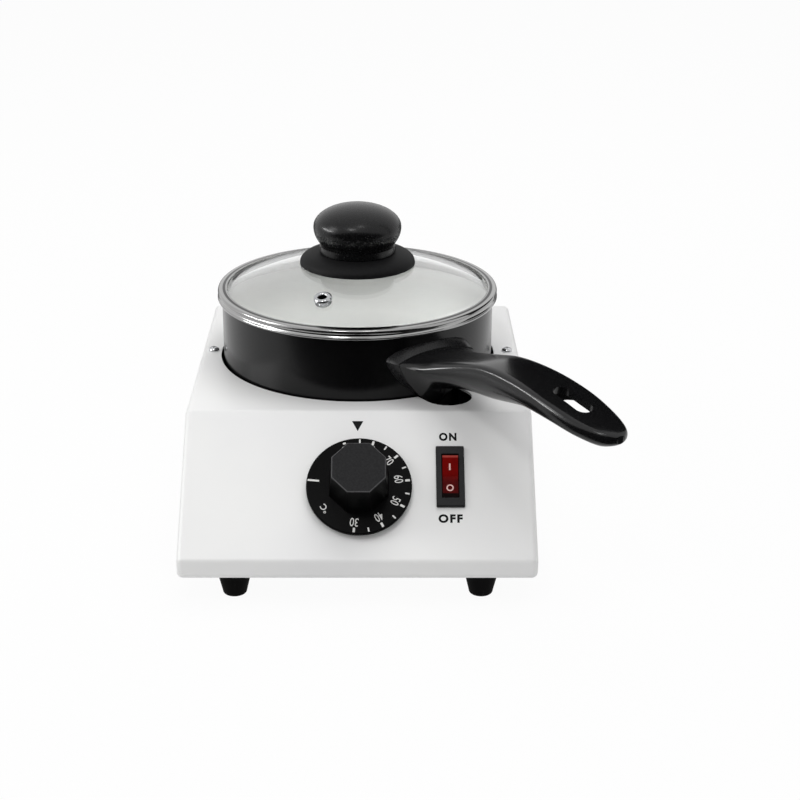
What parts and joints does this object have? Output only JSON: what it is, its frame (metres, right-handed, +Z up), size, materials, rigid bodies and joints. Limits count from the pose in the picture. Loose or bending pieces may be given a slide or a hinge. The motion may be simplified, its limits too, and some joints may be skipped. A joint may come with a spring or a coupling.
{
  "type": "chocolate melting tank",
  "caption": "Counter-top chocolate melting tank: sloping white steel body on rubber feet, dry heated well, lift-out handled pan, glass lid, thermostat dial and rocker switch.",
  "frame": {"origin": "bottom centre of the bounding box, on the floor plane under the feet", "axes": "+X to the right of someone facing the front panel, +Y to the back, +Z up"},
  "size_m": [0.2052, 0.2602, 0.1562],
  "materials": {
    "white_paint": "satin powder coat",
    "zinc_sheet": "zinc-plated sheet",
    "bright_steel": "bright plated fasteners",
    "foot_rubber": "moulded rubber",
    "well_metal": "spun aluminium, dark anodised",
    "heater_mica": "mica heater sheet",
    "fibre_pad": "pressed ceramic fibre",
    "copper": "drawn copper",
    "brass": "turned brass",
    "case_plastic": "moulded phenolic",
    "switch_plastic": "fine-textured moulded plastic",
    "dial_plastic": "fine-textured moulded plastic",
    "rocker_red": "translucent red moulding",
    "block_plastic": "moulded polyamide",
    "brown_sleeve": "wire sleeve",
    "blue_sleeve": "wire sleeve",
    "green_sleeve": "wire sleeve",
    "pan_coat": "baked black outside, pale lining inside, on pressed aluminium",
    "collar_coat": "satin black",
    "handle_phenolic": "compression-moulded phenolic",
    "lid_glass": "toughened clear glass",
    "rim_steel": "rolled polished stainless steel",
    "washer_rubber": "silicone"
  },
  "bodies": {
    "base": {"housing_cover": "white_paint", "base_plate": "zinc_sheet", "foot_front_left": "foot_rubber", "foot_front_right": "foot_rubber", "foot_rear_left": "foot_rubber", "foot_rear_right": "foot_rubber", "foot_studs": "bright_steel", "foot_nuts": "bright_steel", "base_screws": "bright_steel", "heating_well": "well_metal", "deck_screws_set": "bright_steel", "deck_nuts": "bright_steel", "heater_disc": "heater_mica", "insulating_pad": "fibre_pad", "clamp_plate": "zinc_sheet", "clamp_nut": "bright_steel", "sensor_bulb": "copper", "bulb_clip": "zinc_sheet", "capillary_tube": "copper", "thermostat_case": "case_plastic", "thermostat_screws": "bright_steel", "switch_housing": "switch_plastic", "switch_terminals": "brass", "cord_gland": "switch_plastic", "gland_nut": "switch_plastic", "terminal_block": "block_plastic", "terminal_screws": "brass", "earth_stud": "brass", "earth_nut": "brass", "wire_live": "brown_sleeve", "wire_switched": "brown_sleeve", "wire_heater": "brown_sleeve", "wire_neutral": "blue_sleeve", "wire_earth": "green_sleeve"},
    "dial": {"dial_knob": "dial_plastic", "thermostat_shaft": "bright_steel"},
    "rocker": {"rocker": "rocker_red"},
    "pan_set": {"pan": "pan_coat", "handle_bracket": "zinc_sheet", "handle_collar": "collar_coat", "pan_handle": "handle_phenolic", "handle_screw": "bright_steel"},
    "lid_set": {"lid_glass": "lid_glass", "lid_rim": "rim_steel", "knob_skirt": "handle_phenolic", "lid_knob": "handle_phenolic", "knob_washer": "washer_rubber", "knob_screw": "bright_steel", "vent_eyelet": "bright_steel"}
  },
  "joints": [
    {"name": "dial_turn", "type": "hinge", "parent": "base", "child": "dial", "pos_m": [-0.01714, -0.07856, 0.04773], "axis": [0, -0.6414, 0.7672], "range_deg": [-18, 278]},
    {"name": "rocker_tilt", "type": "hinge", "parent": "base", "child": "rocker", "pos_m": [0.02656, -0.07263, 0.05061], "axis": [-1, 0, 0], "range_deg": [0, 20]},
    {"name": "pan_lift", "type": "slide", "parent": "base", "child": "pan_set", "axis": [0, 0, 1], "range_m": [0, 0.1]},
    {"name": "lid_lift", "type": "slide", "parent": "pan_set", "child": "lid_set", "axis": [0, 0, 1], "range_m": [0, 0.08]}
  ]
}
